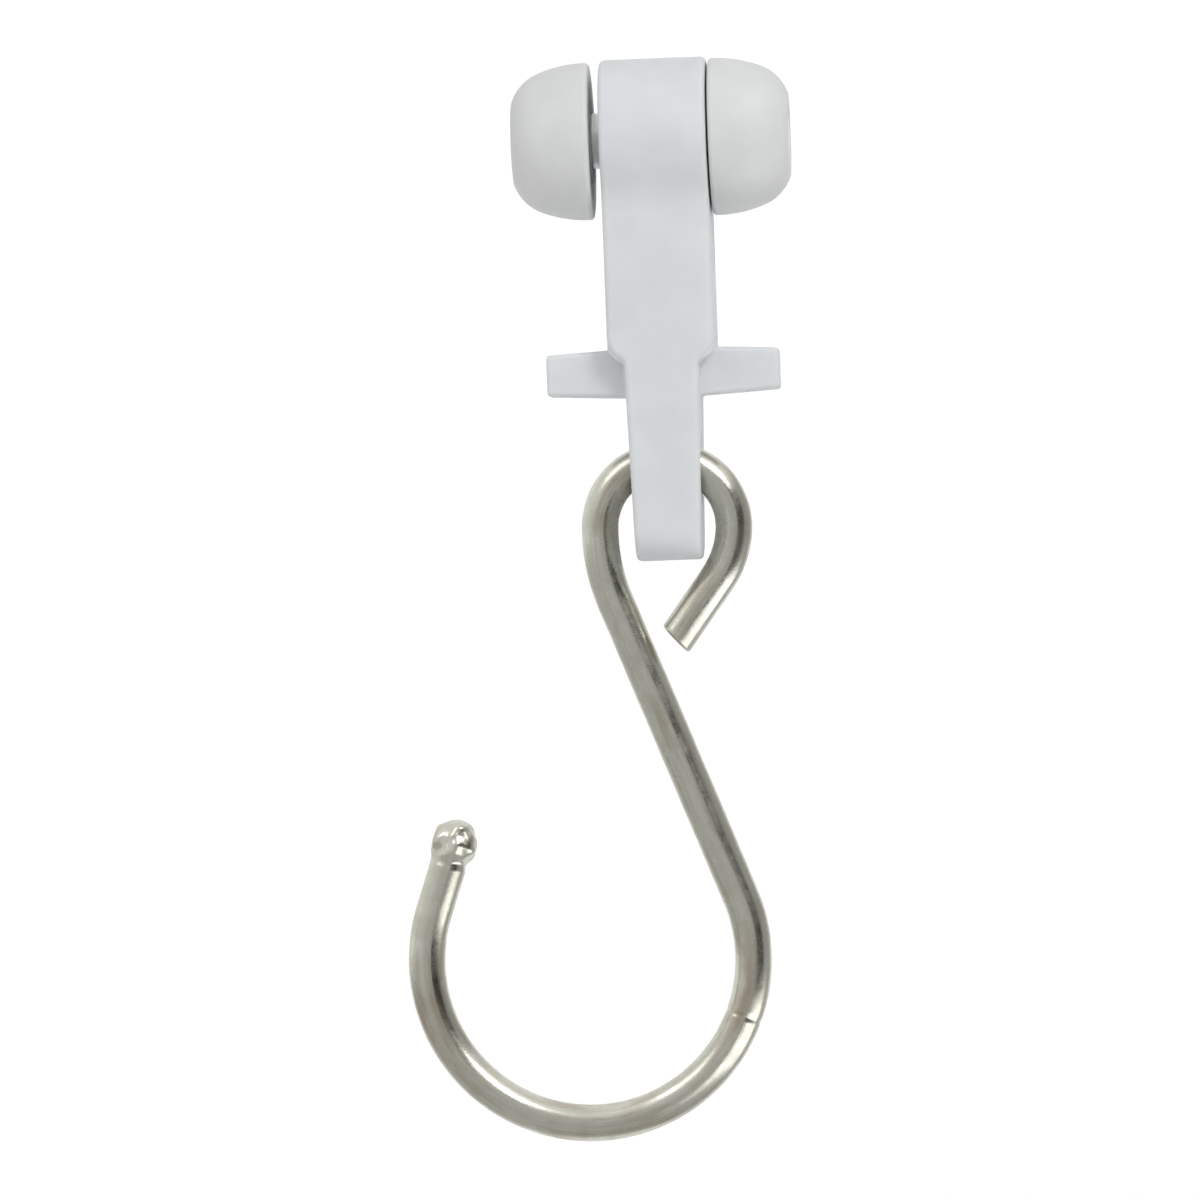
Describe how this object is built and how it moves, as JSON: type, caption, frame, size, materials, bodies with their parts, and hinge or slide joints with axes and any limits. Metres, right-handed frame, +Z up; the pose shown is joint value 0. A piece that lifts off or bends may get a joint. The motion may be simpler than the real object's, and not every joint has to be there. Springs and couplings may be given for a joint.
{
  "type": "roller curtain glider",
  "caption": "White moulded curtain glider: domed wheels on a steel pin run in a track, cross arms sit below its lips, and a bent wire hook swings in the tail's eye to carry the curtain.",
  "frame": {"origin": "midway between the wheels, on the plane that they roll on", "axes": "+X along the axle to the wheel near the carrier, +Y along the track, +Z up"},
  "size_m": [0.0333, 0.013, 0.0871],
  "materials": {
    "carrier_plastic": "moulded satin",
    "wheel_plastic": "moulded satin",
    "pin_steel": "drawn",
    "hook_wire": "drawn satin"
  },
  "bodies": {
    "carrier": {"carrier_body": "carrier_plastic", "axle_pin": "pin_steel"},
    "left_wheel": {"wheel_left": "wheel_plastic"},
    "right_wheel": {"wheel_right": "wheel_plastic"},
    "hanger": {"hook": "hook_wire"}
  },
  "joints": [
    {"name": "wheel_left_spin", "type": "hinge", "parent": "carrier", "child": "left_wheel", "pos_m": [0, 0, 0.00635], "axis": [1, 0, 0], "continuous": true},
    {"name": "wheel_right_spin", "type": "hinge", "parent": "carrier", "child": "right_wheel", "pos_m": [0, 0, 0.00635], "axis": [1, 0, 0], "continuous": true},
    {"name": "hook_swing", "type": "hinge", "parent": "carrier", "child": "hanger", "pos_m": [0, 0, -0.0201], "axis": [1, 0, 0], "range_deg": [-130, 130]}
  ]
}
